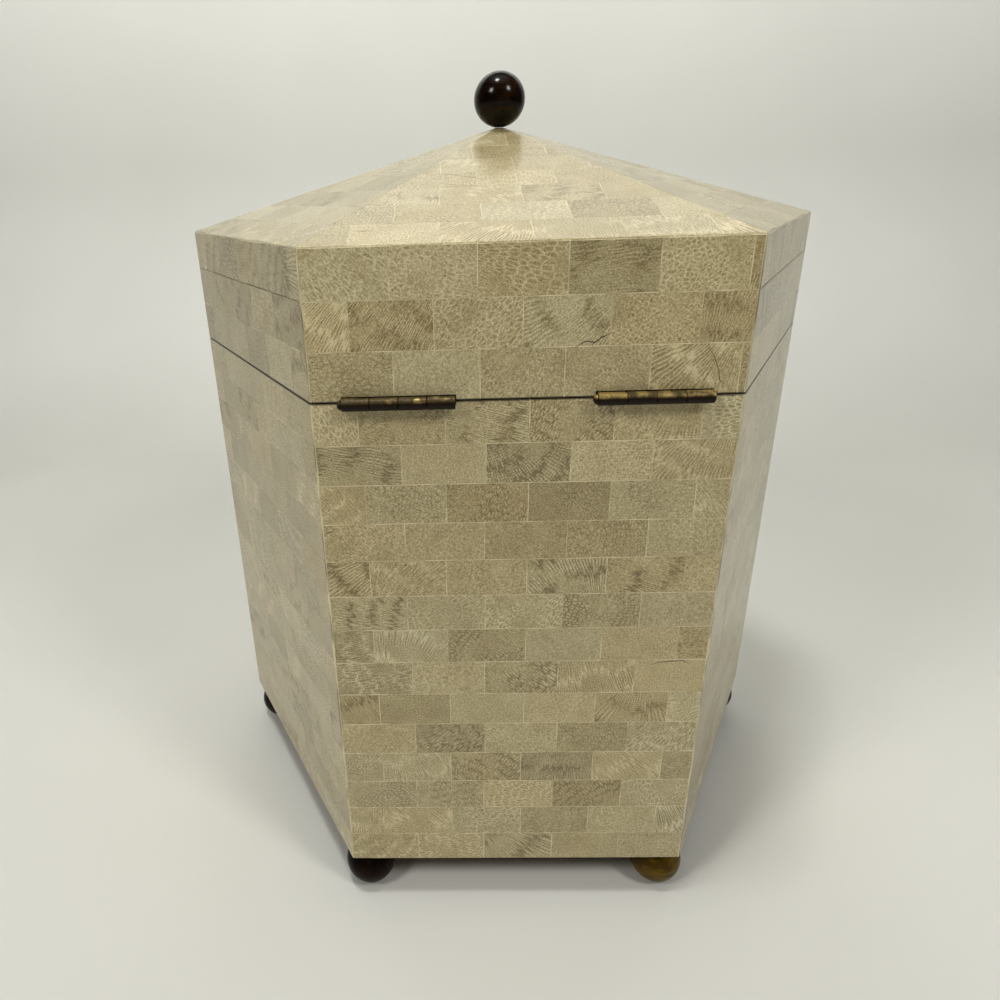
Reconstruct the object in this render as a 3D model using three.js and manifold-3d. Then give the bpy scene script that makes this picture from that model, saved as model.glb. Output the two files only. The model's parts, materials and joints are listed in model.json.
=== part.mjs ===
// A hexagonal box with a hinged pyramid lid, clad in thin tiles of polished fossil stone over a
// hollow wooden carcass, with ball feet, a ball finial and a pair of brass butt hinges.
// Millimetres, +Z up. The origin is on the box's axis, on the plane that the feet stand on.
// The front is towards -Y, and the hinges are on the face towards +Y.

import * as THREE from "three";
import { ConvexGeometry } from "three/addons/geometries/ConvexGeometry.js";
import { mergeVertices } from "three/addons/utils/BufferGeometryUtils.js";
import Module from "manifold-3d";

// Driving dimensions
const SIDE = 150; // side of the regular hexagon, over the tiles
const BODY_COURSES = 14; // rows of tiles up the body
const BODY_COURSE = 15.65; // height of one of them
const LID_COURSES = 3; // rows of tiles up the lid's band
const LID_COURSE = 17.35; // height of one of them
const ROOF_RISE = 41.7; // from the lid's top edge to the point of the roof
const ROOF_FLAT = 2; // apothem of the small flat that the finial sits on
const TILE = 2.7; // thickness of the tiles
const BED = 0.3; // glue between two pieces
const BOARD = 9; // thickness of the carcass's walls, floor and roof
const LID_GAP = 0.5; // between the lid and the body when shut
const BALL_RADIUS = 11.75; // feet and finial
const BALL_FLAT = 0.25; // depth of a ball's flat spot where it meets another surface
const BALL_SIDES = 24;
const BALL_RINGS = 12;
const HINGE_LENGTH = 39.5;
const HINGE_SPREAD = 88; // between the middles of the two hinges
const KNUCKLES = 4; // per hinge, alternately on the body leaf and the lid leaf
const BARREL_RADIUS = 2.3;
const BARREL_STANDOFF = 0.2; // between the barrel and the tiled face
const PIN_RADIUS = 0.9;
const PIN_HEAD_RADIUS = 1.8;
const PIN_HEAD = 1.2; // length of the domed head at one end of the pin
const LEAF = 1; // thickness of a hinge leaf
const LEAF_WIDTH = 9.6; // how far a leaf reaches in from the tiled face
const RUNNING = 0.3; // clearance around what turns or is let in
const ROUND_SIDES = 20; // facets of a knuckle or a pin

// Levels and slopes that follow from them
const APOTHEM = SIDE * Math.cos(Math.PI / 6);
const SLOPE = Math.atan2(ROOF_RISE, APOTHEM);
const UNDERSIDE = 2 * (BALL_RADIUS - BALL_FLAT) + BED;
const RIM = UNDERSIDE + BODY_COURSES * BODY_COURSE;
const LID_RIM = RIM + LID_GAP;
const EAVE = LID_RIM + LID_COURSES * LID_COURSE;
const HINGE_LEVEL = (RIM + LID_RIM) / 2;
const HINGE_AXIS = APOTHEM + BARREL_STANDOFF + BARREL_RADIUS;
const ROOF_TOP = EAVE + (APOTHEM - ROOF_FLAT) * Math.tan(SLOPE);

const HALF_FACE = Math.PI / 6; // half the angle that one face takes up in plan
const FACES = ["back_right", "back", "back_left", "front_left", "front", "front_right"];
const CORNERS = ["right", "back_right", "back_left", "left", "front_left", "front_right"];

const wasm = await Module();
wasm.setup();

// Materials

const stone = () => new THREE.MeshStandardMaterial({ color: 0xb3a680, roughness: 0.2 });
const wood = () => new THREE.MeshStandardMaterial({ color: 0x5b3d26, roughness: 0.6 });
const darkBall = () => new THREE.MeshStandardMaterial({ color: 0x1a0f08, roughness: 0.1 });
const brass = () => new THREE.MeshStandardMaterial({ color: 0x7a6032, roughness: 0.4, metalness: 1 });

// Solids for joining and cutting

function toSolid(geometry) {
  const bare = geometry.clone();
  bare.deleteAttribute("normal");
  bare.deleteAttribute("uv");
  const merged = mergeVertices(bare, 1e-4);
  return new wasm.Manifold(
    new wasm.Mesh({
      numProp: 3,
      vertProperties: new Float32Array(merged.attributes.position.array),
      triVerts: new Uint32Array(merged.index.array),
    }),
  );
}

function toGeometry(solid) {
  const { vertProperties, triVerts } = solid.getMesh();
  const geometry = new THREE.BufferGeometry();
  geometry.setAttribute("position", new THREE.BufferAttribute(vertProperties, 3));
  geometry.setIndex(new THREE.BufferAttribute(triVerts, 1));
  geometry.computeVertexNormals();
  return geometry;
}

function block(x, y, z) {
  const geometry = new THREE.BoxGeometry(x[1] - x[0], y[1] - y[0], z[1] - z[0]);
  return toSolid(geometry.translate((x[0] + x[1]) / 2, (y[0] + y[1]) / 2, (z[0] + z[1]) / 2));
}

// Points of the hexagon

// A point on a face whose outward side is +Y: across the face, out from the axis, and up.
const facePoint = (across, out, up) => new THREE.Vector3(across, out, up);

// Half the width of a face at a distance from the axis, less half a bed at the mitred corner.
const halfWidth = (out) => out * Math.tan(HALF_FACE) - BED / 2 / Math.cos(HALF_FACE);

function hexagon(apothem, level) {
  const radius = apothem / Math.cos(HALF_FACE);
  return CORNERS.map((_, i) => {
    const angle = i * 2 * HALF_FACE;
    return new THREE.Vector3(radius * Math.cos(angle), radius * Math.sin(angle), level);
  });
}

// Height of the roof's surface, or of a surface parallel to it at a depth, over a distance from the axis.
function roofLevel(out, depth) {
  return EAVE + (APOTHEM - out) * Math.tan(SLOPE) - depth / Math.cos(SLOPE);
}

// Tile fields

function bodyField() {
  const points = [];
  for (const out of [APOTHEM, APOTHEM - TILE]) {
    for (const side of [-1, 1]) {
      points.push(facePoint(side * halfWidth(out), out, UNDERSIDE));
      points.push(facePoint(side * halfWidth(out), out, RIM));
    }
  }
  return new ConvexGeometry(points);
}

// Along the eave the band and the roof meet in a mitre; each keeps half a bed back from it.
const MITRE_FALL = (1 / Math.cos(SLOPE) - Math.tan(SLOPE)) * TILE;
const MITRE_BACK = BED / 2 / Math.cos(Math.atan2(MITRE_FALL, TILE));

function bandField() {
  const points = [];
  for (const [out, top] of [
    [APOTHEM, EAVE - MITRE_BACK],
    [APOTHEM - TILE, EAVE - MITRE_FALL - MITRE_BACK],
  ]) {
    for (const side of [-1, 1]) {
      points.push(facePoint(side * halfWidth(out), out, LID_RIM));
      points.push(facePoint(side * halfWidth(out), out, top));
    }
  }
  return new ConvexGeometry(points);
}

function roofField() {
  const back = MITRE_BACK * Math.cos(SLOPE);
  const points = [];
  for (const [out, depth] of [
    [APOTHEM - back, 0],
    [APOTHEM - TILE - back, TILE],
    [ROOF_FLAT, 0],
  ]) {
    for (const side of [-1, 1]) {
      points.push(facePoint(side * halfWidth(out), out, roofLevel(out, depth)));
    }
  }
  const tip = BED / 2 / Math.sin(HALF_FACE);
  points.push(facePoint(0, tip, ROOF_TOP), facePoint(0, tip, roofLevel(tip, TILE)));
  return new ConvexGeometry(points);
}

// Carcasses

const OUTER = APOTHEM - TILE - BED;
const INNER = OUTER - BOARD;
const OVERCUT = 1;

const prism = (apothem, low, high) =>
  toSolid(new ConvexGeometry([...hexagon(apothem, low), ...hexagon(apothem, high)]));

function roofedPrism(apothem, low, depth) {
  const point = new THREE.Vector3(0, 0, roofLevel(0, depth));
  const eave = hexagon(apothem, roofLevel(apothem, depth));
  return toSolid(new ConvexGeometry([...hexagon(apothem, low), ...eave, point]));
}

const boxCarcass = () => prism(OUTER, UNDERSIDE, RIM).subtract(prism(INNER, UNDERSIDE + BOARD, RIM + OVERCUT));

const lidCarcass = () =>
  roofedPrism(OUTER, LID_RIM, TILE + BED).subtract(
    roofedPrism(INNER, LID_RIM - OVERCUT, TILE + BED + BOARD),
  );

// Hinges. Each leaf lies flat in a shallow recess of its rim, and its knuckles stand outside the face.

const hingeMiddles = { left: -HINGE_SPREAD / 2, right: HINGE_SPREAD / 2 };
const LEAF_SLACK = 0.15; // from the hinge's level to a leaf

// The recess for one leaf, in the rim below the hinge's level (side -1) or above it (side 1).
function recess(middle, side) {
  const half = HINGE_LENGTH / 2 + RUNNING;
  const deep = HINGE_LEVEL + side * (LEAF_SLACK + LEAF + RUNNING);
  return block(
    [middle - half, middle + half],
    [APOTHEM - LEAF_WIDTH - RUNNING, APOTHEM + OVERCUT],
    [Math.min(deep, HINGE_LEVEL), Math.max(deep, HINGE_LEVEL)],
  );
}

function withRecesses(solid, side) {
  return Object.values(hingeMiddles).reduce((cut, middle) => cut.subtract(recess(middle, side)), solid);
}

// A round bar along X on the hinge axis.
function hingeBar(radius, from, to) {
  const bar = new THREE.CylinderGeometry(radius, radius, to - from, ROUND_SIDES);
  bar.rotateZ(Math.PI / 2).translate((from + to) / 2, HINGE_AXIS, HINGE_LEVEL);
  return toSolid(bar);
}

function leaf(middle, side) {
  const start = middle - HINGE_LENGTH / 2;
  const step = HINGE_LENGTH / KNUCKLES;
  const faces = [HINGE_LEVEL + side * LEAF_SLACK, HINGE_LEVEL + side * (LEAF_SLACK + LEAF)];
  const thickness = [Math.min(...faces), Math.max(...faces)];
  const plateEdge = HINGE_AXIS - BARREL_RADIUS - RUNNING;
  let solid = block([start, start + HINGE_LENGTH], [APOTHEM - LEAF_WIDTH, plateEdge], thickness);
  for (let i = side < 0 ? 0 : 1; i < KNUCKLES; i += 2) {
    const from = start + i * step + (i === 0 ? 0 : RUNNING / 2);
    const to = start + (i + 1) * step - (i === KNUCKLES - 1 ? 0 : RUNNING / 2);
    solid = solid.add(block([from, to], [plateEdge - OVERCUT, HINGE_AXIS], thickness));
    solid = solid.add(hingeBar(BARREL_RADIUS, from, to));
  }
  const bore = hingeBar(PIN_RADIUS + RUNNING, start - OVERCUT, start + HINGE_LENGTH + OVERCUT);
  return solid.subtract(bore);
}

// The pin is a turned bar with a domed head at its +X end.
function pin() {
  const profile = new THREE.Path();
  profile.moveTo(0, -HINGE_LENGTH / 2);
  profile.lineTo(PIN_RADIUS, -HINGE_LENGTH / 2);
  profile.lineTo(PIN_RADIUS, HINGE_LENGTH / 2 + RUNNING);
  profile.lineTo(PIN_HEAD_RADIUS, HINGE_LENGTH / 2 + RUNNING);
  profile.absellipse(0, HINGE_LENGTH / 2 + RUNNING, PIN_HEAD_RADIUS, PIN_HEAD, 0, Math.PI / 2);
  const bar = new THREE.LatheGeometry(profile.getPoints(4), ROUND_SIDES);
  return bar.rotateZ(-Math.PI / 2);
}

// Balls

// A turned ball about its own middle, flattened at the bottom and, where asked, at the top.
function ball(flatTop) {
  const flatAngle = Math.acos((BALL_RADIUS - BALL_FLAT) / BALL_RADIUS);
  const low = -Math.PI / 2 + flatAngle;
  const high = flatTop ? Math.PI / 2 - flatAngle : Math.PI / 2;
  const points = [new THREE.Vector2(0, BALL_FLAT - BALL_RADIUS)];
  for (let i = 0; i <= BALL_RINGS; i++) {
    const angle = low + ((high - low) * i) / BALL_RINGS;
    const across = i === BALL_RINGS && !flatTop ? 0 : BALL_RADIUS * Math.cos(angle);
    points.push(new THREE.Vector2(across, BALL_RADIUS * Math.sin(angle)));
  }
  if (flatTop) points.push(new THREE.Vector2(0, BALL_RADIUS - BALL_FLAT));
  return new THREE.LatheGeometry(points, BALL_SIDES).rotateX(Math.PI / 2);
}

// The object

function addMesh(group, name, geometry, material) {
  const mesh = new THREE.Mesh(geometry, material);
  mesh.name = name;
  group.add(mesh);
  return mesh;
}

// One field per face, turned about the box's axis; the back one is cut for the hinge leaves.
function addFields(group, name, geometry, backGeometry) {
  FACES.forEach((face, i) => {
    const shape = face === "back" && backGeometry ? backGeometry : geometry;
    const mesh = addMesh(group, name + "_" + face, shape, stone());
    mesh.rotation.z = (i - FACES.indexOf("back")) * 2 * HALF_FACE;
  });
}

const box = new THREE.Group();
addMesh(box, "box_carcass", toGeometry(withRecesses(boxCarcass(), -1)), wood());
addFields(box, "body_tiles", bodyField(), toGeometry(withRecesses(toSolid(bodyField()), -1)));

// The feet are set in from the corners so that each ball comes out level with the two faces.
hexagon(APOTHEM - BALL_RADIUS, BALL_RADIUS - BALL_FLAT).forEach((place, i) => {
  addMesh(box, "foot_" + CORNERS[i], ball(true), darkBall()).position.copy(place);
});

const lid = new THREE.Group();
addMesh(lid, "lid_carcass", toGeometry(withRecesses(lidCarcass(), 1)), wood());
addFields(lid, "lid_band_tiles", bandField(), toGeometry(withRecesses(toSolid(bandField()), 1)));
addFields(lid, "lid_roof_tiles", roofField());
const finial = addMesh(lid, "finial_ball", ball(false), darkBall());
finial.position.z = ROOF_TOP + BED + BALL_RADIUS - BALL_FLAT;

for (const [name, middle] of Object.entries(hingeMiddles)) {
  addMesh(box, "hinge_" + name + "_body_leaf", toGeometry(leaf(middle, -1)), brass());
  addMesh(lid, "hinge_" + name + "_lid_leaf", toGeometry(leaf(middle, 1)), brass());
  addMesh(box, "hinge_" + name + "_pin", pin(), brass()).position.set(middle, HINGE_AXIS, HINGE_LEVEL);
}

const part = new THREE.Group();
part.add(box, lid);

export default part;
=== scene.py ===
import json
import math
import random

import bpy
from mathutils import Matrix, Vector


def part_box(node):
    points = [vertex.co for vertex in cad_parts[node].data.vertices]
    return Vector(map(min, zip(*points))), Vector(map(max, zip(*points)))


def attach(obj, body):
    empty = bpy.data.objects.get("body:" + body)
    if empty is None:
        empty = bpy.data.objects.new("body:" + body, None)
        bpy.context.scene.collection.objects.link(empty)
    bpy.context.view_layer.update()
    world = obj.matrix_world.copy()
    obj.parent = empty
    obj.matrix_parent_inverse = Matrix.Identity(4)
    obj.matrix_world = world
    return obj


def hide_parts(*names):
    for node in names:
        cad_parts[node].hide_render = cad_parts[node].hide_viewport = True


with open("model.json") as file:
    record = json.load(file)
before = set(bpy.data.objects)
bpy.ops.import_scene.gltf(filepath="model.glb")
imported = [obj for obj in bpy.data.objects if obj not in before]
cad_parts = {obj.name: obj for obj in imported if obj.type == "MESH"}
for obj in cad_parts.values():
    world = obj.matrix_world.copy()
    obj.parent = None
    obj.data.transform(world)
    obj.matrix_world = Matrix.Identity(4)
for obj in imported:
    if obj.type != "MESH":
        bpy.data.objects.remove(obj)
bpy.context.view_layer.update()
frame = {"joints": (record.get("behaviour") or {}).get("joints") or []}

# Box carcass
# Six wooden boards, mitred at the corners, stand round a hexagonal floor board. The tiles are glued to
# their outside. The inside is stained and waxed, and the back board's top edge is let down for the hinges.

MM = 0.001
FACES = {"back_right": 30, "back": 90, "back_left": 150, "front_left": 210, "front": 270, "front_right": 330}
wall_low, wall_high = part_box("body_tiles_back")
APOTHEM = wall_high.y
TILE = wall_high.y - wall_low.y
UNDERSIDE = wall_low.z
RIM = wall_high.z
HALF_SIDE = APOTHEM * math.tan(math.radians(30))
carcass_low, carcass_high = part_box("box_carcass")
BOARD = 9 * MM
BOARD_EASE = 0.5 * MM
BOARD_FACE = TILE + 0.02 * MM
BOARD_BACK = APOTHEM - carcass_high.y + BOARD


def upright(angle):
    """A map for one upright face: right and up as seen from outside, and depth, to a point."""
    turn = math.radians(angle)
    outward = Vector((math.cos(turn), math.sin(turn), 0))
    right = Vector((-math.sin(turn), math.cos(turn), 0))

    def place(across, up, depth):
        out = APOTHEM - depth
        return outward * out + right * (across * out / APOTHEM) + Vector((0, 0, up))

    return place


def outline(sides):
    """The corners of the convex shape inside all its sides, each given by its outward normal and distance."""
    reach = 1.0
    corners = [(-reach, -reach), (reach, -reach), (reach, reach), (-reach, reach)]
    for nx, ny, limit, _ in sides:
        kept = []
        for here, there in zip(corners, corners[1:] + corners[:1]):
            inside = limit - nx * here[0] - ny * here[1]
            beyond = limit - nx * there[0] - ny * there[1]
            if inside >= 0:
                kept.append(here)
            if inside * beyond < 0:
                share = inside / (inside - beyond)
                kept.append(tuple(a + (b - a) * share for a, b in zip(here, there)))
        corners = kept
    return corners


def rectangle(left, right, low, high, ease=0.0):
    return [(-1, 0, -left, ease), (1, 0, right, ease), (0, -1, -low, ease), (0, 1, high, ease)]


def new_shape():
    return {"points": [], "faces": [], "slots": [], "marks": {}}


def add_loops(shape, loops, slot, marks, closed=True):
    """Joins rings of points into a skin, the first ring outermost, and closes its two ends."""
    start = len(shape["points"])
    count = len(loops[0])
    for loop in loops:
        shape["points"] += loop
    for ring in range(len(loops) - 1):
        near = start + ring * count
        far = near + count
        for i in range(count):
            j = (i + 1) % count
            shape["faces"].append((far + i, far + j, near + j, near + i))
    if closed:
        shape["faces"].append(tuple(range(start, start + count)))
        last = start + (len(loops) - 1) * count
        shape["faces"].append(tuple(reversed(range(last, last + count))))
    shape["slots"] += [slot] * (len(shape["faces"]) - len(shape["slots"]))
    for label, values in marks.items():
        shape["marks"].setdefault(label, []).extend(values)


EASE_FALL = 0.4


def add_slab(shape, place, sides, shallow, deep, slot=0, mark=None):
    """A flat slab on a face, from one depth to another, each side with its own ease. mark gives corner values."""
    rim = outline(sides)
    if len(rim) < 3:
        return
    eases = [max(e for nx, ny, limit, e in sides if abs(nx * x + ny * y - limit) < 1e-7) for x, y in rim]
    front = outline([(nx, ny, limit - ease, ease) for nx, ny, limit, ease in sides])
    flat = [(rim, [shallow + EASE_FALL * ease for ease in eases]), (rim, [deep] * len(rim))]
    if len(front) == len(rim) and min(eases) > 0:
        flat.insert(0, (front, [shallow] * len(rim)))
    marks = {}
    if mark:
        for corners, _ in flat:
            for corner in corners:
                for label, value in mark(*corner).items():
                    marks.setdefault(label, []).append(value)
    loops = [[place(x, y, depth) for (x, y), depth in zip(corners, depths)] for corners, depths in flat]
    add_loops(shape, loops, slot, marks)


def make_piece(name, shape, materials, body, slot, *nodes, smooth=False):
    """The shape as an object that moves with a body and stands for nodes of the frame."""
    mesh = bpy.data.meshes.new(name)
    mesh.from_pydata(shape["points"], [], shape["faces"])
    for material in materials:
        mesh.materials.append(material)
    mesh.polygons.foreach_set("material_index", shape["slots"])
    for label, values in shape["marks"].items():
        layer = mesh.attributes.new(label, "FLOAT_VECTOR", "POINT")
        layer.data.foreach_set("vector", [number for value in values for number in value])
    if smooth:
        mesh.shade_smooth()
        mesh.set_sharp_from_angle(angle=math.radians(32))
    piece = bpy.data.objects.new(name, mesh)
    bpy.context.collection.objects.link(piece)
    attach(piece, body)
    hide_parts(*nodes)
    return piece


def add_node(tree, kind, inputs=(), **settings):
    """A shader node with its settings, fed by place or by name from sockets or plain values."""
    made = tree.nodes.new("ShaderNode" + kind)
    for name, value in settings.items():
        setattr(made, name, value)
    pairs = inputs.items() if isinstance(inputs, dict) else enumerate(inputs)
    for key, value in pairs:
        if isinstance(value, bpy.types.NodeSocket):
            tree.links.new(value, made.inputs[key])
        else:
            made.inputs[key].default_value = value
    return made


def calc(tree, operation, *values):
    return add_node(tree, "Math", values, operation=operation).outputs[0]


def ease_between(tree, value, low, high):
    """0 below low, 1 above high, and a smooth step between."""
    inputs = {"Value": value, "From Min": low, "From Max": high}
    return add_node(tree, "MapRange", inputs, interpolation_type="SMOOTHSTEP").outputs["Result"]


def mix_colours(tree, share, first, second, mode="MIX"):
    mixer = add_node(tree, "Mix", {0: share, 6: first, 7: second}, data_type="RGBA", blend_type=mode)
    return mixer.outputs[2]


def read_mark(tree, label):
    """The values that a shape's corners carry under a label, as a vector and its three parts."""
    vector = add_node(tree, "Attribute", attribute_name=label).outputs["Vector"]
    return vector, add_node(tree, "SeparateXYZ", [vector]).outputs


def new_material(name):
    """A material with an empty node tree, and its Principled shader."""
    material = bpy.data.materials.new(name)
    material.use_nodes = True
    tree = material.node_tree
    return material, tree, tree.nodes["Principled BSDF"]


def make_patches_group():
    """Cloudy patches: a soft mask of blotches of a given size, for stains, mottling and grime."""
    group = bpy.data.node_groups.new("cloudy_patches", "ShaderNodeTree")
    for label, kind in [("Place", "NodeSocketVector"), ("Patch size", "NodeSocketFloat"),
                        ("Detail", "NodeSocketFloat"), ("From", "NodeSocketFloat"), ("To", "NodeSocketFloat")]:
        group.interface.new_socket(label, in_out="INPUT", socket_type=kind)
    group.interface.new_socket("Mask", in_out="OUTPUT", socket_type="NodeSocketFloat")
    given = group.nodes.new("NodeGroupInput").outputs
    result = group.nodes.new("NodeGroupOutput")
    fineness = calc(group, "DIVIDE", 1.0, given["Patch size"])
    noise = add_node(group, "TexNoise", {"Vector": given["Place"], "Scale": fineness, "Detail": given["Detail"]})
    mask = ease_between(group, noise.outputs["Fac"], given["From"], given["To"])
    group.links.new(mask, result.inputs["Mask"])
    return group


patches_group = make_patches_group()


def patches(tree, place, size, detail=2.0, low=0.4, high=0.6):
    inputs = {"Place": place, "Patch size": size, "Detail": detail, "From": low, "To": high}
    made = tree.nodes.new("ShaderNodeGroup")
    made.node_tree = patches_group
    for key, value in inputs.items():
        if isinstance(value, bpy.types.NodeSocket):
            tree.links.new(value, made.inputs[key])
        else:
            made.inputs[key].default_value = value
    return made.outputs["Mask"]


def stained_wood():
    """Boards with the grain along their length, in millimetres of each board's own place."""
    material, tree, shader = new_material("stained_wood")
    place, part = read_mark(tree, "board_place")
    along = add_node(tree, "Mapping", {"Vector": place, "Scale": (0.05, 1.0, 1.0)}).outputs[0]
    bands = add_node(tree, "TexNoise", {"Vector": along, "Scale": 0.16, "Detail": 5.0, "Distortion": 0.6})
    pores = add_node(tree, "TexNoise", {"Vector": along, "Scale": 1.9, "Detail": 3.0})
    pore = ease_between(tree, pores.outputs["Fac"], 0.36, 0.5)
    ramp = add_node(tree, "ValToRGB", [bands.outputs["Fac"]])
    ramp.color_ramp.elements[0].position = 0.34
    ramp.color_ramp.elements[0].color = (0.050, 0.022, 0.010, 1)
    ramp.color_ramp.elements[1].position = 0.68
    ramp.color_ramp.elements[1].color = (0.135, 0.064, 0.027, 1)
    pored = mix_colours(tree, pore, (0.040, 0.018, 0.008, 1), ramp.outputs["Color"])
    worn = patches(tree, place, 45.0, 3.0, 0.3, 0.7)
    dulled = mix_colours(tree, calc(tree, "MULTIPLY", worn, 0.25), pored, (0.16, 0.085, 0.042, 1))
    tree.links.new(dulled, shader.inputs["Base Color"])
    rough = add_node(tree, "MapRange", {"Value": bands.outputs["Fac"], "To Min": 0.42, "To Max": 0.58})
    tree.links.new(rough.outputs["Result"], shader.inputs["Roughness"])
    bump = add_node(tree, "Bump", {"Height": pore, "Strength": 0.35, "Distance": 0.0001})
    tree.links.new(bump.outputs["Normal"], shader.inputs["Normal"])
    return material


wood = stained_wood()


def board_mark(seed):
    return lambda x, y: {"board_place": (x / MM, y / MM + seed * 83.0, seed * 29.0)}


hinge_nodes = {"left": "hinge_left", "right": "hinge_right"}
hinge_low = {side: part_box(node + "_body_leaf")[0] for side, node in hinge_nodes.items()}
hinge_high = {side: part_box(node + "_body_leaf")[1] for side, node in hinge_nodes.items()}
RECESS_SLACK = 0.3 * MM
RECESS_DEPTH = 1.2 * MM


def recessed(left, right, low, high, edge, level):
    """A rectangle on the back face, parted so that its top or bottom edge is cut to a level at the hinges."""
    parts = []
    start = left
    for side in ("right", "left"):
        # Seen from behind, the right side of the box is on the left.
        from_here = max(left, -hinge_high[side].x - RECESS_SLACK)
        to_here = min(right, -hinge_low[side].x + RECESS_SLACK)
        if from_here >= to_here:
            continue
        if from_here > start:
            parts.append((start, from_here, low, high))
        parts.append((from_here, to_here, low, level) if edge == "top" else (from_here, to_here, level, high))
        start = to_here
    if start < right:
        parts.append((start, right, low, high))
    return parts


box_boards = new_shape()
for number, (face, angle) in enumerate(FACES.items()):
    spans = [(-HALF_SIDE, HALF_SIDE, UNDERSIDE, RIM)]
    if face == "back":
        spans = recessed(*spans[0], "top", RIM - RECESS_DEPTH)
    for span in spans:
        add_slab(box_boards, upright(angle), rectangle(*span), BOARD_FACE, BOARD_BACK, mark=board_mark(number))

FLOOR_HOUSING = 1 * MM
FLOOR_LIFT = 0.4 * MM
floor_reach = APOTHEM - BOARD_BACK + FLOOR_HOUSING
floor_sides = [(math.cos(math.radians(a)), math.sin(math.radians(a)), floor_reach, 0) for a in FACES.values()]


def level_place(x, y, depth):
    return Vector((x, y, UNDERSIDE + BOARD - depth))


add_slab(box_boards, level_place, floor_sides, 0, BOARD - FLOOR_LIFT, mark=board_mark(7))
make_piece("box_boards", box_boards, [wood], "box", "carcass_wood", "box_carcass")

# Lid carcass
# The lid is built like the box: six mitred boards for the band and six roof boards that rise from the
# band to a point, in the same stained wood, hollow underneath.

lid_low, lid_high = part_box("lid_band_tiles_back")
LID_RIM = lid_low.z
EAVE = lid_high.z + 0.2 * MM
roof_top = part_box("lid_roof_tiles_back")[1].z
ROOF_FLAT = 2 * MM
SLOPE = math.atan2(roof_top - EAVE, APOTHEM - ROOF_FLAT)
SLOPE_LENGTH = (APOTHEM - ROOF_FLAT) / math.cos(SLOPE)
MITRE_FALL = 1 / math.cos(SLOPE) - math.tan(SLOPE)


def sloping(angle):
    """A map for one roof face: right, up the slope from the eave, and depth, to a point."""
    turn = math.radians(angle)
    outward = Vector((math.cos(turn), math.sin(turn), 0))
    right = Vector((-math.sin(turn), math.cos(turn), 0))

    def place(across, up, depth):
        out = APOTHEM - up * math.cos(SLOPE)
        under = min(out, APOTHEM - depth)
        level = EAVE + (APOTHEM - under) * math.tan(SLOPE) - depth / math.cos(SLOPE)
        return outward * under + right * (across * under / out) + Vector((0, 0, level))

    return place


def banded(angle):
    """As upright, but deeper points at the top keep below the mitre with the roof."""
    plain = upright(angle)

    def place(across, up, depth):
        return plain(across, min(up, EAVE - depth * MITRE_FALL), depth)

    return place


HIP = math.atan2(SLOPE_LENGTH, HALF_SIDE * (1 - ROOF_FLAT / APOTHEM))


def roof_sides(inset=0.0, eave_ease=0.0, hip_ease=0.0):
    """The four sides of a roof face: eave, two hips and the small cut under the finial."""
    across = math.sin(HIP)
    up = math.cos(HIP)
    return [(0, -1, -inset, eave_ease), (across, up, HALF_SIDE * across - inset, hip_ease),
            (-across, up, HALF_SIDE * across - inset, hip_ease), (0, 1, SLOPE_LENGTH, hip_ease)]


lid_boards = new_shape()
for number, (face, angle) in enumerate(FACES.items()):
    spans = [(-HALF_SIDE, HALF_SIDE, LID_RIM, EAVE)]
    if face == "back":
        spans = recessed(*spans[0], "bottom", LID_RIM + RECESS_DEPTH)
    for span in spans:
        add_slab(lid_boards, banded(angle), rectangle(*span), BOARD_FACE, BOARD_BACK, mark=board_mark(number + 10))
    add_slab(lid_boards, sloping(angle), roof_sides(), BOARD_FACE, BOARD_BACK, mark=board_mark(number + 20))
make_piece("lid_boards", lid_boards, [wood], "lid", "carcass_wood", "lid_carcass")

# Tiles of fossil stone
# Each face is laid with thin tiles cut from fossil coral, in courses with broken joints, bedded in a
# cream filler, ground flush and lacquered. Every tile shows its own cut through the coral: nets of
# cells, fans or combs of fine lines, or hardly any figure.

JOINT = 0.3 * MM
TILE_EASE = 0.06 * MM
ARRIS = 0.5 * MM
EAVE_ARRIS = 0.6 * MM
FILLER_DEPTH = 0.035 * MM
FILLER_INSET = 0.01 * MM
LEAST_TILE = 1.6 * MM
LID_GAP = LID_RIM - RIM
# Reach of the painted shade beside the gap between box and lid
GAP_SHADE_REACH = 0.75 * MM
chance = random.Random(20)

# Each kind of figure: how often, cell width in millimetres, length to width, distance to the fan's middle
# in millimetres, and contrast
FIGURES = [
    (0.24, (1.1, 1.6), (1.2, 2.2), (60, 200), (0.25, 0.6)),
    (0.24, (0.95, 1.4), (2.0, 4.0), (24, 80), (0.35, 0.8)),
    (0.18, (0.85, 1.25), (8.0, 16.0), (20, 42), (0.55, 1.0)),
    (0.14, (0.75, 1.1), (9.0, 18.0), (60, 160), (0.5, 0.9)),
    (0.20, (1.3, 2.2), (1.0, 3.0), (40, 120), (0.1, 0.3)),
]
PALE_LINED = 0.5


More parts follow.
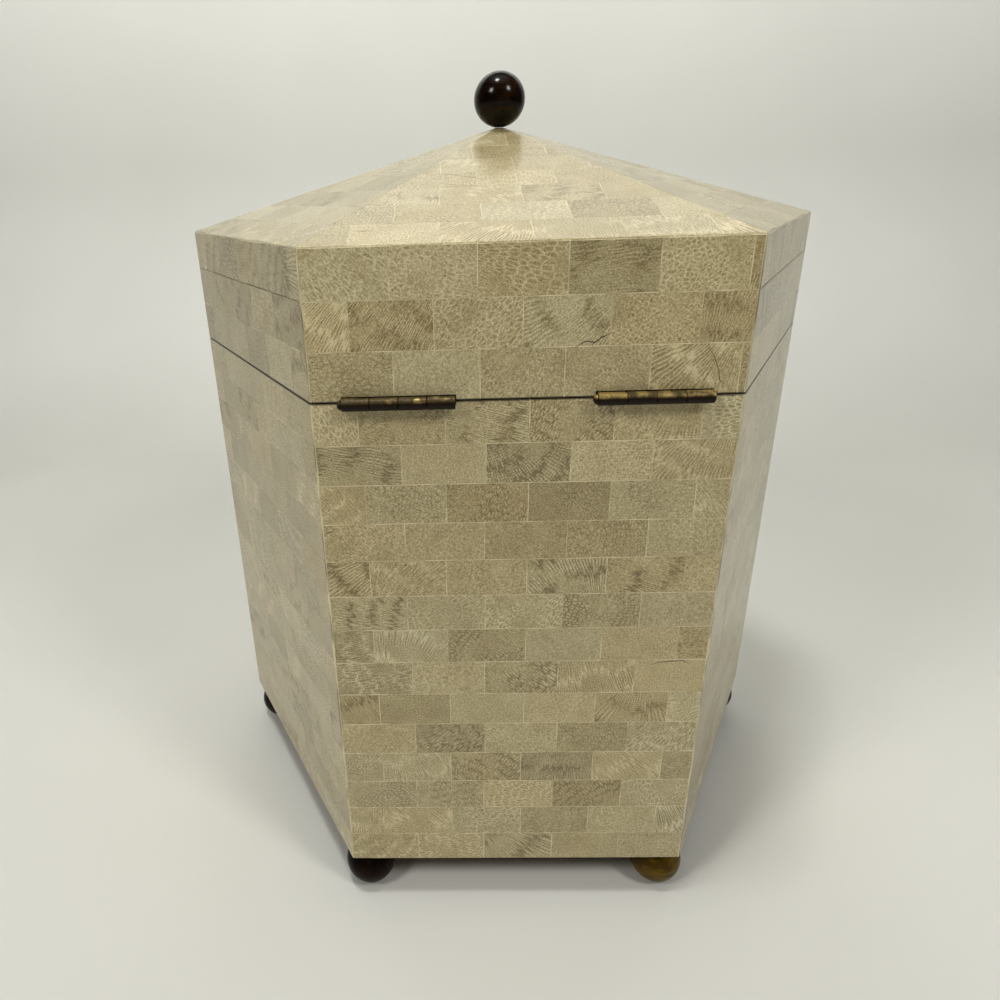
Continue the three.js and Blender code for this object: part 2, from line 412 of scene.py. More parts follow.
def fossil_figure(x, y):
    """One tile's own figure and tint, about its middle, as marks on its corners."""
    pick = chance.choices(range(len(FIGURES)), [f[0] for f in FIGURES])[0]
    _, widths, stretches, fans, strengths = FIGURES[pick]
    width = chance.uniform(*widths)
    stretch = chance.uniform(*stretches)
    fan = chance.uniform(*fans)
    turn = chance.uniform(0, 2 * math.pi)
    strength = chance.uniform(*strengths) * (-1 if chance.random() < PALE_LINED else 1)
    light = min(0.8, max(0.2, chance.gauss(0.5, 0.068)))
    warm = chance.random()
    rungs = chance.uniform(0.5, 1.0) if chance.random() < 0.3 else 0.0
    middle_x = x / MM - fan * math.cos(turn)
    middle_y = y / MM - fan * math.sin(turn)

    def mark(px, py):
        dx = px / MM - middle_x
        dy = py / MM - middle_y
        along = dx * math.cos(turn) + dy * math.sin(turn)
        aside = dy * math.cos(turn) - dx * math.sin(turn)
        return {
            "stone_place": (along, aside, fan),
            "stone_figure": (width, stretch, strength),
            "stone_tint": (light, warm, rungs),
        }

    return mark


def filler_mark(grime):
    return lambda x, y: {
        "stone_place": (x / MM, y / MM, 0),
        "stone_figure": (1, 1, 0),
        "stone_tint": (grime, 0, 0),
    }


def fossil_stone():
    """Fossil coral under lacquer. Cells and lines come from one net of cells drawn out along the fan."""
    material, tree, shader = new_material("fossil_stone")
    place, (along, aside, fan) = read_mark(tree, "stone_place")
    _, (width, stretch, strength) = read_mark(tree, "stone_figure")
    _, (light, warm, rungs) = read_mark(tree, "stone_tint")
    shift = calc(tree, "MULTIPLY", light, 1531.0)

    # The fan: how far round, and how far out from its middle, both in millimetres
    turned = calc(tree, "ARCTAN2", aside, along)
    round_fan = calc(tree, "MULTIPLY", turned, fan)
    flat = add_node(tree, "CombineXYZ", [along, aside, 0.0]).outputs[0]
    out_fan = add_node(tree, "VectorMath", [flat], operation="LENGTH").outputs["Value"]

    # Growth wobbles the lines a little
    spot = add_node(tree, "CombineXYZ", [along, aside, shift]).outputs[0]
    wobble = add_node(tree, "TexNoise", {"Vector": spot, "Scale": 0.16, "Detail": 1.5})
    sway = add_node(tree, "SeparateXYZ", [wobble.outputs["Color"]]).outputs
    round_fan = calc(tree, "ADD", round_fan, calc(tree, "MULTIPLY", sway[0], 1.5))
    out_fan = calc(tree, "ADD", out_fan, calc(tree, "MULTIPLY", sway[1], 1.5))

    # The net of cells
    cell_x = calc(tree, "ADD", calc(tree, "DIVIDE", round_fan, width), shift)
    cell_y = calc(tree, "DIVIDE", calc(tree, "DIVIDE", out_fan, width), stretch)
    cell = add_node(tree, "CombineXYZ", [cell_x, calc(tree, "ADD", cell_y, shift), 0.0]).outputs[0]
    loose = {"Value": stretch, "From Min": 1.5, "From Max": 8.0, "To Min": 0.9, "To Max": 0.55}
    loose = add_node(tree, "MapRange", loose).outputs["Result"]
    net = add_node(tree, "TexVoronoi", {"Vector": cell, "Scale": 1.0, "Randomness": loose},
                   voronoi_dimensions="2D", feature="DISTANCE_TO_EDGE")
    crevice = ease_between(tree, net.outputs["Distance"], 0.02, 0.17)
    heart = ease_between(tree, net.outputs["Distance"], 0.08, 0.42)
    cells = calc(tree, "MULTIPLY_ADD", heart, 0.4, calc(tree, "MULTIPLY", crevice, 0.6))

    # Fine rungs across the lines, on some tiles
    rung = calc(tree, "PINGPONG", out_fan, 0.55)
    rung = ease_between(tree, rung, 0.05, 0.3)
    rung = calc(tree, "MULTIPLY", calc(tree, "SUBTRACT", rung, 0.7), rungs)

    # The figure fades in and out over a tile, its lines break up, and mottling and grain lie over all
    shown = patches(tree, spot, 13.0, 1.0, 0.3, 0.56)
    broken = patches(tree, spot, 1.7, 1.0, 0.2, 0.62)
    cloud = patches(tree, spot, 9.0, 3.0, 0.25, 0.75)
    specks = add_node(tree, "TexNoise", {"Vector": spot, "Scale": 1.7, "Detail": 1.5, "Roughness": 0.75})
    grain = specks.outputs["Fac"]
    figure = calc(tree, "ADD", calc(tree, "SUBTRACT", cells, 0.72), calc(tree, "MULTIPLY", rung, 0.5))
    figure = calc(tree, "MULTIPLY", figure, calc(tree, "MULTIPLY", strength, shown))
    figure = calc(tree, "MULTIPLY", figure, calc(tree, "MULTIPLY_ADD", broken, 0.7, 0.3))
    tone = calc(tree, "MULTIPLY_ADD", figure, 0.95, light)
    tone = calc(tree, "MULTIPLY_ADD", calc(tree, "SUBTRACT", cloud, 0.5), 0.13, tone)
    tone = calc(tree, "MULTIPLY_ADD", calc(tree, "SUBTRACT", grain, 0.5), 1.7, tone)
    ramp = add_node(tree, "ValToRGB", [tone])
    ramp.color_ramp.elements[0].position = 0.0
    ramp.color_ramp.elements[0].color = (0.205, 0.157, 0.071, 1)
    ramp.color_ramp.elements[1].position = 1.0
    ramp.color_ramp.elements[1].color = (0.720, 0.645, 0.405, 1)
    middle = ramp.color_ramp.elements.new(0.5)
    middle.color = (0.452, 0.375, 0.198, 1)
    tint = mix_colours(tree, warm, (0.98, 0.99, 1.02, 1), (1.03, 0.99, 0.94, 1))
    colour = mix_colours(tree, 1.0, ramp.outputs["Color"], tint, "MULTIPLY")

    # Small dark pits, few and far between
    pits = add_node(tree, "TexVoronoi", {"Vector": spot, "Scale": 0.12}, voronoi_dimensions="2D")
    few = ease_between(tree, add_node(tree, "SeparateXYZ", [pits.outputs["Color"]]).outputs[0], 0.86, 0.88)
    pit = calc(tree, "MULTIPLY", ease_between(tree, pits.outputs["Distance"], 0.05, 0.02), few)
    colour = mix_colours(tree, calc(tree, "MULTIPLY", pit, 0.7), colour, (0.075, 0.052, 0.026, 1))

    # Painted shade along the gap between box and lid: the stone is darkened near the gap, thickening its dark line
    height = add_node(tree, "SeparateXYZ", [add_node(tree, "TexCoord").outputs["Object"]]).outputs[2]
    from_gap = calc(tree, "ABSOLUTE", calc(tree, "SUBTRACT", height, (RIM + LID_RIM) / 2))
    painted_gap_shade = ease_between(tree, from_gap, GAP_SHADE_REACH, LID_GAP)
    colour = mix_colours(tree, calc(tree, "MULTIPLY", painted_gap_shade, 0.85), colour, (0.045, 0.032, 0.015, 1))
    tree.links.new(colour, shader.inputs["Base Color"])

    rough = add_node(tree, "MapRange", {"Value": grain, "To Min": 0.34, "To Max": 0.5})
    tree.links.new(rough.outputs["Result"], shader.inputs["Roughness"])
    waves = add_node(tree, "TexNoise", {"Vector": spot, "Scale": 0.25, "Detail": 1.0}).outputs["Fac"]
    bump = add_node(tree, "Bump", {"Height": waves, "Strength": 0.12, "Distance": 0.0002})
    fine = {"Height": tone, "Strength": 0.5, "Distance": 0.00005, "Normal": bump.outputs["Normal"]}
    pores = add_node(tree, "Bump", fine)
    tree.links.new(pores.outputs["Normal"], shader.inputs["Normal"])
    tree.links.new(pores.outputs["Normal"], shader.inputs["Coat Normal"])
    shader.inputs["Coat Weight"].default_value = 0.55
    shader.inputs["Coat Roughness"].default_value = 0.07
    shader.inputs["Specular IOR Level"].default_value = 0.25
    return material


def joint_filler():
    """Cream filler, flush in the joints, with grime worked into it in places."""
    material, tree, shader = new_material("joint_filler")
    place, _ = read_mark(tree, "stone_place")
    _, (grime, _, _) = read_mark(tree, "stone_tint")
    dirty = patches(tree, place, 24.0, 2.0, 0.42, 0.62)
    dirty = calc(tree, "MULTIPLY", dirty, grime)
    pale = patches(tree, place, 11.0, 2.0, 0.38, 0.6)
    clean = mix_colours(tree, pale, (0.540, 0.458, 0.258, 1), (0.800, 0.710, 0.455, 1))
    colour = mix_colours(tree, dirty, clean, (0.085, 0.065, 0.036, 1))
    tree.links.new(colour, shader.inputs["Base Color"])
    speck = add_node(tree, "TexNoise", {"Vector": place, "Scale": 1.4}).outputs["Fac"]
    rough = add_node(tree, "MapRange", {"Value": speck, "To Min": 0.4, "To Max": 0.6})
    tree.links.new(rough.outputs["Result"], shader.inputs["Roughness"])
    shader.inputs["Coat Weight"].default_value = 0.6
    shader.inputs["Coat Roughness"].default_value = 0.1
    return material


def crack_grime():
    """Dark grime in the hairline cracks."""
    material, tree, shader = new_material("crack_grime")
    place, _ = read_mark(tree, "stone_place")
    packed = patches(tree, place, 1.6, 2.0, 0.3, 0.7)
    colour = mix_colours(tree, packed, (0.190, 0.140, 0.062, 1), (0.045, 0.032, 0.013, 1))
    tree.links.new(colour, shader.inputs["Base Color"])
    shader.inputs["Roughness"].default_value = 0.6
    return material


stone = fossil_stone()
filler = joint_filler()
grime_line = crack_grime()

# The cracks and pits that show on the hinge side: widest width, then points across and up, in millimetres
CRACKS = {
    "lid_band_back": [
        (0.55, [(16.0, 259.9), (18.6, 261.6), (20.2, 262.1), (22.6, 261.6), (25.0, 263.3), (29.0, 265.0)]),
        (0.38, [(60.4, 259.4), (62.9, 255.9), (64.1, 253.2), (65.0, 250.8), (65.7, 247.6), (67.6, 246.2)]),
    ],
    "body_back": [
        (0.5, [(52.6, 130.6), (56.6, 131.8), (60.0, 132.1), (65.2, 132.4), (67.8, 131.2)]),
        (0.36, [(42.1, 130.1), (43.6, 128.9), (44.3, 127.9), (46.5, 125.6)]),
        (0.6, [(-74.0, 191.7), (-72.6, 192.4), (-70.3, 193.1)]),
        (0.9, [(-44.7, 178.0), (-44.1, 178.2), (-43.6, 178.1)]),
    ],
    "lid_roof_back": [
        (0.45, [(-26.0, 69.3), (-22.5, 67.8), (-19.0, 66.0), (-11.8, 61.6)]),
        (0.4, [(-28.4, 58.6), (-24.0, 56.6), (-20.5, 55.4), (-12.3, 53.4)]),
        (0.7, [(-56.7, 12.3), (-54.0, 11.8), (-51.0, 11.9)]),
    ],
}
# The joint under the lid's top course has opened a little and taken dirt on the two faces beside the hinges.
for face in ("back_right", "back_left"):
    steps = [i / 24 for i in range(25)]
    level = (EAVE - (EAVE - LID_RIM) / 3) / MM
    run = [((2 * t - 1) * (HALF_SIDE / MM - 0.6), level + chance.uniform(-0.12, 0.12)) for t in steps]
    CRACKS["lid_band_" + face] = [(0.42, run)]
CRACK_PROUD = 0.008 * MM
CRACK_DEPTH = 0.2 * MM


def add_crack(shape, place, widest, line):
    """A hairline crack, filled with grime: thin at both ends and uneven between."""
    line = [(x * MM, y * MM) for x, y in line]
    left, right = [], []
    for i, (x, y) in enumerate(line):
        before = line[max(i - 1, 0)]
        after = line[min(i + 1, len(line) - 1)]
        run = math.hypot(after[0] - before[0], after[1] - before[1])
        aside = ((before[1] - after[1]) / run, (after[0] - before[0]) / run)
        end = i in (0, len(line) - 1)
        half = widest * MM / 2 * (0.2 if end else chance.uniform(0.6, 1.0))
        left.append((x + aside[0] * half, y + aside[1] * half))
        right.append((x - aside[0] * half, y - aside[1] * half))
    ring = right + left[::-1]
    marks = {}
    for _ in range(2):
        for corner in ring:
            for label, value in filler_mark(0)(*corner).items():
                marks.setdefault(label, []).append(value)
    loops = [[place(x, y, depth) for x, y in ring] for depth in (-CRACK_PROUD, CRACK_DEPTH)]
    add_loops(shape, loops, 2, marks)


def cuts_along(length, step, first, wander):
    """Places of the upright joints along a course, from its left end, with a little unevenness. The first and
    last lie just outside the face, so that its border cuts the end tiles."""
    cuts = [-JOINT]
    spot = first
    while spot < length - LEAST_TILE * 2:
        cuts.append(spot + chance.uniform(-wander, wander))
        spot += step
    return cuts + [length + JOINT]


def lay_tiles(shape, place, border, courses, step, notch=None):
    """Courses of tiles, given by their lower and upper edges and the first joint, cut to a border."""
    for low, high, first in courses:
        cuts = cuts_along(2 * HALF_SIDE, step, first, 0.6 * MM)
        for left, right in zip(cuts, cuts[1:]):
            whole = (left - HALF_SIDE, right - HALF_SIDE, low, high)
            sides = rectangle(*whole) + border
            corners = outline(sides)
            if len(corners) < 3:
                continue
            middle = [sum(c) / len(corners) for c in zip(*corners)]
            mark = fossil_figure(*middle)
            for span in notch(*whole) if notch else [whole]:
                tile = [(nx, ny, limit - JOINT / 2, TILE_EASE) for nx, ny, limit, _ in rectangle(*whole)]
                cut = [(nx, ny, limit, 0.0) for nx, ny, limit, _ in rectangle(*span)]
                add_slab(shape, place, tile + cut + border, 0, TILE, 0, mark)


def even_courses(low, high, count, firsts):
    """Courses of nearly equal height from the top down; firsts gives the first joint of each in turn."""
    step = (high - low) / count
    lines = [high - i * step for i in range(count + 1)]
    wavering = [z + chance.uniform(-0.2, 0.2) * MM for z in lines[1:-1]]
    lines = [high + JOINT] + wavering + [low - JOINT]
    return [(lines[i + 1], lines[i], firsts[i % len(firsts)]) for i in range(count)]


def face_border(low, high, ease_low, ease_high, inset):
    side = HALF_SIDE - inset
    return [(-1, 0, side, ARRIS), (1, 0, side, ARRIS), (0, -1, -low, ease_low), (0, 1, high, ease_high)]


BODY_COURSES = 14
LID_COURSES = 3
ROOF_COURSE = 17.6 * MM
EDGE = 0.25 * MM
TILE_LENGTH = 0.2 * 2 * HALF_SIDE
LID_TILE_LENGTH = 0.195 * 2 * HALF_SIDE
HALF_BOND = [0.56 * TILE_LENGTH, 1.04 * TILE_LENGTH]
LID_BOND = [1.01 * LID_TILE_LENGTH, 0.51 * LID_TILE_LENGTH]
GRIME = {"back": 0.15, "back_left": 0.8, "back_right": 0.8, "front": 0.3, "front_left": 0.5, "front_right": 0.5}


def filler_bed(shape, place, border, spans, grime):
    for span in spans:
        sides = border + rectangle(*span, TILE_EASE)
        inner = [(nx, ny, limit - FILLER_INSET, ease) for nx, ny, limit, ease in sides]
        add_slab(shape, place, inner, FILLER_DEPTH, TILE - FILLER_INSET, 1, filler_mark(grime))


def top_notch(left, right, low, high):
    if high < RIM - JOINT:
        return [(left, right, low, high)]
    return recessed(left, right, low, high, "top", RIM - RECESS_DEPTH)


def bottom_notch(left, right, low, high):
    if low > LID_RIM + JOINT:
        return [(left, right, low, high)]
    return recessed(left, right, low, high, "bottom", LID_RIM + LID_NOTCH)


def finish_field(kind, face, place, shape, body):
    """Adds the cracks that show on this field, and makes its object."""
    for crack in CRACKS.get(kind + "_" + face, []):
        add_crack(shape, place, *crack)
    name = kind + "_stone_" + face
    make_piece(name, shape, [stone, filler, grime_line], body, "stone_tiles", kind + "_tiles_" + face)


# The lid's tiles are cut a little higher than the leaf, clear of the barrel.
LID_NOTCH = 1.9 * MM
for face, angle in FACES.items():
    hinged = face == "back"
    firsts = HALF_BOND if face in ("back", "front_left", "front_right") else HALF_BOND[::-1]

    shape = new_shape()
    place = upright(angle)
    courses = even_courses(UNDERSIDE, RIM, BODY_COURSES, firsts)
    border = face_border(UNDERSIDE, RIM, EDGE, EDGE, JOINT / 2)
    lay_tiles(shape, place, border, courses, TILE_LENGTH, top_notch if hinged else None)
    whole = (-2 * HALF_SIDE, 2 * HALF_SIDE, UNDERSIDE - MM, RIM - JOINT / 2)
    border = face_border(UNDERSIDE, RIM + MM, EDGE, EDGE, 0)
    filler_bed(shape, place, border, top_notch(*whole) if hinged else [whole], GRIME[face])
    finish_field("body", face, place, shape, "box")

    shape = new_shape()
    place = banded(angle)
    courses = even_courses(LID_RIM, EAVE, LID_COURSES, LID_BOND if hinged else firsts[::-1])
    border = face_border(LID_RIM, EAVE - JOINT / 2, EDGE, EAVE_ARRIS, JOINT / 2)
    lay_tiles(shape, place, border, courses, LID_TILE_LENGTH, bottom_notch if hinged else None)
    whole = (-2 * HALF_SIDE, 2 * HALF_SIDE, LID_RIM + JOINT / 2, EAVE + MM)
    border = face_border(LID_RIM - MM, EAVE, EDGE, EAVE_ARRIS, 0)
    filler_bed(shape, place, border, bottom_notch(*whole) if hinged else [whole], GRIME[face])
    finish_field("lid_band", face, place, shape, "lid")

    shape = new_shape()
    place = sloping(angle)
    rows = math.ceil(SLOPE_LENGTH / ROOF_COURSE)
    lines = [-JOINT] + [i * ROOF_COURSE for i in range(1, rows + 1)]
    courses = [(lines[i], lines[i + 1], firsts[i % 2]) for i in range(rows)]
    lay_tiles(shape, place, roof_sides(JOINT / 2, EAVE_ARRIS, TILE_EASE), courses, TILE_LENGTH)
    whole = (-2 * HALF_SIDE, 2 * HALF_SIDE, -MM, SLOPE_LENGTH + MM)
    filler_bed(shape, place, roof_sides(0, EAVE_ARRIS, TILE_EASE), [whole], GRIME[face])
    finish_field("lid_roof", face, place, shape, "lid")

# Feet and finial
# Seven turned balls of one size, in a dark close-grained material polished to a high gloss: one under
# each corner, level with the two faces, and one on the point of the roof.

BALL_SIDES = 64
BALL_RINGS = 40
BALL_REACH = 0.9998


def add_turned(shape, middle, axis, profile, sides, slot=0, marks=None):
    """A turned form about an axis, from its profile of distances along and away from it, end to end."""
    axis = Vector(axis)
    across = axis.orthogonal().normalized()
    aside = axis.cross(across)
    loops = []
    for along, radius in profile:
        turns = [2 * math.pi * i / sides for i in range(sides)]
        loops.append([middle + axis * along + (across * math.cos(t) + aside * math.sin(t)) * radius for t in turns])
    add_loops(shape, loops[::-1], slot, marks or {})


def polished_ball(name, dark, amber, dull, gloss):
    """A near-black brown with streaks of amber where the light gets in."""
    material, tree, shader = new_material(name)
    place = add_node(tree, "TexCoord").outputs["Object"]
    streaked = add_node(tree, "Mapping", {"Vector": place, "Scale": (110.0, 110.0, 230.0)}).outputs[0]
    streak = add_node(tree, "TexNoise", {"Vector": streaked, "Scale": 1.0, "Detail": 3.0, "Distortion": 0.4})
    share = ease_between(tree, streak.outputs["Fac"], 0.38, 0.68)
    cloud = patches(tree, place, 0.012, 2.0, 0.3, 0.7)
    share = calc(tree, "MULTIPLY", share, calc(tree, "MULTIPLY_ADD", cloud, 0.7, 0.3))
    tree.links.new(mix_colours(tree, share, dark, amber), shader.inputs["Base Color"])
    haze = patches(tree, place, 0.006, 3.0, 0.35, 0.75)
    rough = add_node(tree, "MapRange", {"Value": haze, "To Min": dull, "To Max": dull + 0.08})
    tree.links.new(rough.outputs["Result"], shader.inputs["Roughness"])
    shader.inputs["IOR"].default_value = 1.4
    shader.inputs["Specular IOR Level"].default_value = gloss
    return material


finial_dark = polished_ball("finial_dark", (0.0022, 0.0008, 0.0003, 1), (0.020, 0.008, 0.002, 1), 0.16, 0.28)
foot_dark = polished_ball("foot_dark", (0.0024, 0.0009, 0.0004, 1), (0.020, 0.008, 0.003, 1), 0.3, 0.08)
foot_amber = polished_ball("foot_amber", (0.055, 0.030, 0.003, 1), (0.180, 0.112, 0.009, 1), 0.28, 0.1)


def make_ball(node, material, body):
    low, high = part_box(node)
    radius = (high.x - low.x) / 2
    middle = Vector(((low.x + high.x) / 2, (low.y + high.y) / 2, low.z + BALL_SEAT))
    start, stop = [math.asin(max(-BALL_REACH, min(BALL_REACH, (z - middle.z) / radius))) for z in (low.z, high.z)]
    steps = [start + (stop - start) * i / BALL_RINGS for i in range(BALL_RINGS + 1)]
    shape = new_shape()
    profile = [(radius * math.sin(t), radius * math.cos(t)) for t in steps]
    add_turned(shape, middle, (0, 0, 1), profile, BALL_SIDES)
    make_piece(node.replace("_ball", "") + "_turned", shape, [material], body, "dark_ball", node, smooth=True)


foot_low, foot_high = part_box("foot_left")
BALL_SEAT = (foot_high.z - foot_low.z) / 2
for corner in ("right", "back_right", "back_left", "left", "front_left", "front_right"):
    # Seen from behind, the foot on the right is cut from a lighter, golden piece.
    make_ball("foot_" + corner, foot_amber if corner == "back_left" else foot_dark, "box")
make_ball("finial_ball", finial_dark, "lid")

# Hinges
# Two small brass butt hinges with rolled knuckles on a loose pin. Their leaves lie in the rims of box and
# lid, and only the barrels show outside, dark with age and worn in patches; bare metal kept along the top is
# painted light, and the all-dark underside is painted shade.

KNUCKLES = 4
KNUCKLE_GAP = 0.12 * MM
KNUCKLE_EASE = 0.25 * MM
LEAF = 1 * MM
LEAF_SLACK = 0.15 * MM
BARREL_SIDES = 40
PIN_RADIUS = 0.95 * MM
hinge_axis = Vector(frame["joints"][0]["pos_m"])
BARREL = hinge_high["left"].y - hinge_axis.y


def aged_brass(name, rub):
    """Brass gone dark brown, with the metal showing in worn patches, and only on the barrel's upper half: painted
    light on top and painted shade below.
    """
    material, tree, shader = new_material(name)
    place = add_node(tree, "TexCoord").outputs["Object"]
    height = add_node(tree, "SeparateXYZ", [place]).outputs[2]
    # Painted light and shade: bare metal is let through only above the pin, so the top of the barrel shows light and
    # the underside stays dark.
    lit_top_share = ease_between(tree, height, hinge_axis.z + 0.2 * MM, hinge_axis.z + 1.5 * MM)
    worn = patches(tree, place, 0.005, 3.0, 0.62 - rub, 0.86 - rub)
    fine = patches(tree, place, 0.0012, 3.0, 0.35, 0.7)
    bare_and_lit_top = calc(tree, "MULTIPLY", lit_top_share, calc(tree, "MULTIPLY_ADD", worn, 0.85, 0.15))
    bare_and_lit_top = calc(tree, "MULTIPLY", bare_and_lit_top, calc(tree, "MULTIPLY_ADD", fine, 0.5, 0.5))
    colour = mix_colours(tree, bare_and_lit_top, (0.010, 0.0048, 0.0022, 1), (0.58, 0.42, 0.15, 1))
    tree.links.new(colour, shader.inputs["Base Color"])
    tree.links.new(bare_and_lit_top, shader.inputs["Metallic"])
    shader.inputs["Specular IOR Level"].default_value = 0.15
    rough = add_node(tree, "MapRange", {"Value": bare_and_lit_top, "To Min": 0.42, "To Max": 0.2})
    tree.links.new(rough.outputs["Result"], shader.inputs["Roughness"])
    bump = add_node(tree, "Bump", {"Height": fine, "Strength": 0.3, "Distance": 0.0001})
    tree.links.new(bump.outputs["Normal"], shader.inputs["Normal"])
    return material


brass = {"left": aged_brass("brass_worn_lit_top", 0.23), "right": aged_brass("dark_brass", 0.1)}


def level_block(shape, x, y, z, ease):
    """A flat bar with eased top edges."""
    turned = (lambda a, b, depth: Vector((a, b, z[1] - depth)))
    add_slab(shape, turned, rectangle(*x, *y, ease), 0, z[1] - z[0])


def make_leaf(side, body):
    node = hinge_nodes[side] + ("_body_leaf" if body == "box" else "_lid_leaf")
    low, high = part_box(node)
    length = high.x - low.x
    step = length / KNUCKLES
    way = -1 if body == "box" else 1
    faces = sorted((hinge_axis.z + way * LEAF_SLACK, hinge_axis.z + way * (LEAF_SLACK + LEAF)))
    shape = new_shape()
    level_block(shape, (low.x, high.x), (low.y, hinge_axis.y - BARREL - KNUCKLE_GAP), faces, 0.1 * MM)
    for i in range(0 if body == "box" else 1, KNUCKLES, 2):
        start = low.x + i * step + KNUCKLE_GAP / 2
        end = low.x + (i + 1) * step - KNUCKLE_GAP / 2
        level_block(shape, (start, end), (hinge_axis.y - BARREL - MM, hinge_axis.y - PIN_RADIUS), faces, 0.05 * MM)
        middle = Vector(((start + end) / 2, hinge_axis.y, hinge_axis.z))
        half = (end - start) / 2
        profile = [(-half, BARREL - KNUCKLE_EASE), (KNUCKLE_EASE - half, BARREL),
                   (half - KNUCKLE_EASE, BARREL), (half, BARREL - KNUCKLE_EASE)]
        add_turned(shape, middle, (1, 0, 0), profile, BARREL_SIDES)
    make_piece(node + "_brass", shape, [brass[side]], body, "hinge_brass", node, smooth=True)


def make_pin(side):
    node = hinge_nodes[side] + "_pin"
    low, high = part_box(node)
    head = (high.z - low.z) / 2
    head_length = 1.2 * MM
    shape = new_shape()
    middle = Vector((0, hinge_axis.y, hinge_axis.z))
    dome = [math.pi / 2 * i / 6 for i in range(7)]
    profile = [(low.x, PIN_RADIUS * 0.8), (low.x + 0.1 * MM, PIN_RADIUS), (high.x - head_length, PIN_RADIUS)]
    profile += [(high.x - head_length * (1 - math.sin(t)), max(head * math.cos(t), 0.1 * MM)) for t in dome]
    add_turned(shape, middle, (1, 0, 0), profile, BARREL_SIDES)
    make_piece(node + "_brass", shape, [brass[side]], "box", "hinge_brass", node, smooth=True)


for side in hinge_nodes:
    make_leaf(side, "box")
    make_leaf(side, "lid")
    make_pin(side)

# Studio
# A pale floor that sweeps up into a wall behind, two soft lamps high in front on either side, one above,
# one that washes the wall and a broad one over the whole floor. The camera is close to the hinge side.


def pale_sweep():
    material, tree, shader = new_material("pale_sweep")
    place = add_node(tree, "TexCoord").outputs["Object"]
    tone = patches(tree, place, 0.3, 2.0, 0.2, 0.8)
    colour = mix_colours(tree, tone, (0.70, 0.70, 0.66, 1), (0.74, 0.74, 0.70, 1))
    tree.links.new(colour, shader.inputs["Base Color"])
    shader.inputs["Roughness"].default_value = 0.7
    # Far from the box, where the lamps don't reach, the floor gets a painted glow, seen by the camera only, so that
    # it fades into the pale room.
    level = add_node(tree, "Mapping", {"Vector": place, "Scale": (1.0, 1.0, 0.0)}).outputs[0]
    reach = add_node(tree, "VectorMath", [level], operation="LENGTH").outputs["Value"]
    far = ease_between(tree, reach, 1.1, 2.5)
    seen = add_node(tree, "LightPath").outputs["Is Camera Ray"]
    shader.inputs["Emission Color"].default_value = (0.58, 0.58, 0.545, 1)
    tree.links.new(calc(tree, "MULTIPLY", far, seen), shader.inputs["Emission Strength"])
    return material


SWEEP_HALF = 2.5
WALL = -0.85
BEND = 0.35
bend_steps = [math.pi / 2 * i / 16 for i in range(17)]
sweep_line = [(SWEEP_HALF, 0.0)] + [(WALL + BEND - BEND * math.sin(t), BEND - BEND * math.cos(t)) for t in bend_steps]
sweep_line.append((WALL, 2.2))
sweep_mesh = bpy.data.meshes.new("sweep")
sweep_points = [(x, y, z) for y, z in sweep_line for x in (-SWEEP_HALF, SWEEP_HALF)]
sweep_faces = [(2 * i, 2 * i + 1, 2 * i + 3, 2 * i + 2) for i in range(len(sweep_line) - 1)]
sweep_mesh.from_pydata(sweep_points, [], sweep_faces)
sweep_mesh.materials.append(pale_sweep())
sweep_mesh.shade_smooth()
sweep = bpy.data.objects.new("sweep", sweep_mesh)
bpy.context.collection.objects.link(sweep)


def soft_lamp(name, spot, aim, size, watts, colour, spread=180):
    data = bpy.data.lights.new(name, "AREA")
    data.shape = "RECTANGLE"
    data.size, data.size_y = size
    data.energy = watts
    data.color = colour
    data.spread = math.radians(spread)
    lamp = bpy.data.objects.new(name, data)
    lamp.location = spot
    lamp.rotation_euler = (Vector(aim) - Vector(spot)).to_track_quat("-Z", "Y").to_euler()
    lamp.visible_camera = False
    bpy.context.collection.objects.link(lamp)


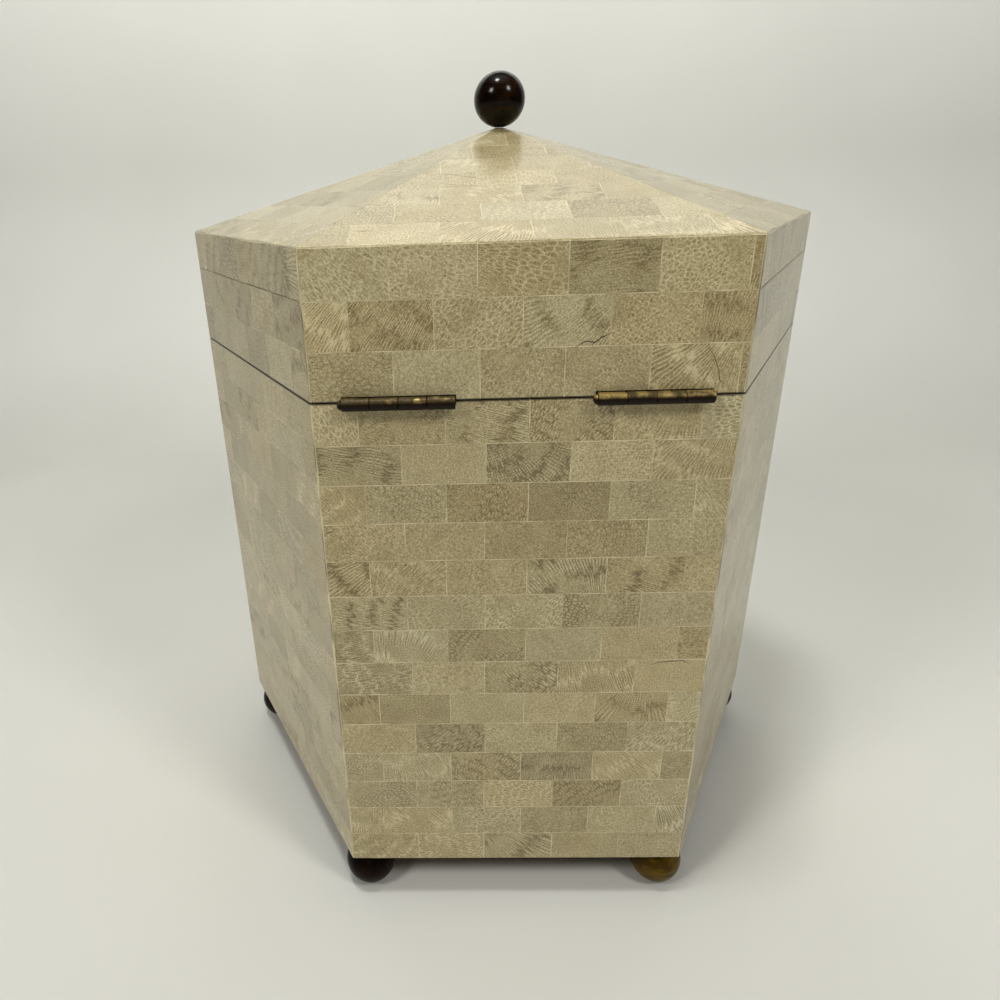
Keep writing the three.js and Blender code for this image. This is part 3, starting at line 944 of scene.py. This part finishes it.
AIM = (0, 0, 0.25)
soft_lamp("lamp_left", (0.78, 0.76, 1.05), AIM, (0.24, 0.3), 5.4, (1.0, 0.98, 0.92))
soft_lamp("lamp_right", (-0.70, 0.74, 1.12), AIM, (0.24, 0.3), 5.4, (1.0, 0.98, 0.92))
soft_lamp("lamp_above", (0.2, 0.22, 1.70), AIM, (0.22, 0.22), 8.0, (1.0, 1.0, 0.96))
soft_lamp("lamp_wall", (0, -0.35, 1.55), (0, WALL, 1.05), (2.4, 0.25), 8.4, (1.0, 1.0, 0.98), 80)
soft_lamp("lamp_room", (0, 0.8, 2.6), (0, 0.8, 0), (4.6, 3.2), 6.0, (1.0, 1.0, 0.97), 70)

world = bpy.data.worlds.new("room")
bpy.context.scene.world = world
world.use_nodes = True
room = world.node_tree.nodes["Background"]
# The room looks pale to the camera, but lends little light of its own.
seen = add_node(world.node_tree, "LightPath").outputs["Is Camera Ray"]
lit = mix_colours(world.node_tree, seen, (0.045, 0.045, 0.042, 1), (0.70, 0.70, 0.66, 1))
world.node_tree.links.new(lit, room.inputs["Color"])

bpy.context.scene.view_settings.view_transform = "Standard"

# The photograph's camera, found from the box's corners
camera_data = bpy.data.cameras.new("camera")
camera = bpy.data.objects.new("camera", camera_data)
bpy.context.collection.objects.link(camera)
bpy.context.scene.camera = camera
EYE = Vector((0.0278, 0.3683, UNDERSIDE + 0.288))
YAW = -0.035
PITCH = -0.386
ROLL = -0.034
FOCAL = 0.7102
camera_data.sensor_width = 36
camera_data.lens = FOCAL * camera_data.sensor_width
camera_data.shift_x = 0.0763
camera_data.shift_y = -0.0233
camera_data.clip_start = 0.01
ahead = Vector((-math.sin(YAW) * math.cos(PITCH), -math.cos(YAW) * math.cos(PITCH), math.sin(PITCH)))
right = ahead.cross(Vector((0, 0, 1))).normalized()
up = right.cross(ahead)
level_x = right * math.cos(ROLL) + up * math.sin(ROLL)
level_y = up * math.cos(ROLL) - right * math.sin(ROLL)
camera.matrix_world = Matrix.Translation(EYE) @ Matrix((level_x, level_y, -ahead)).transposed().to_4x4()
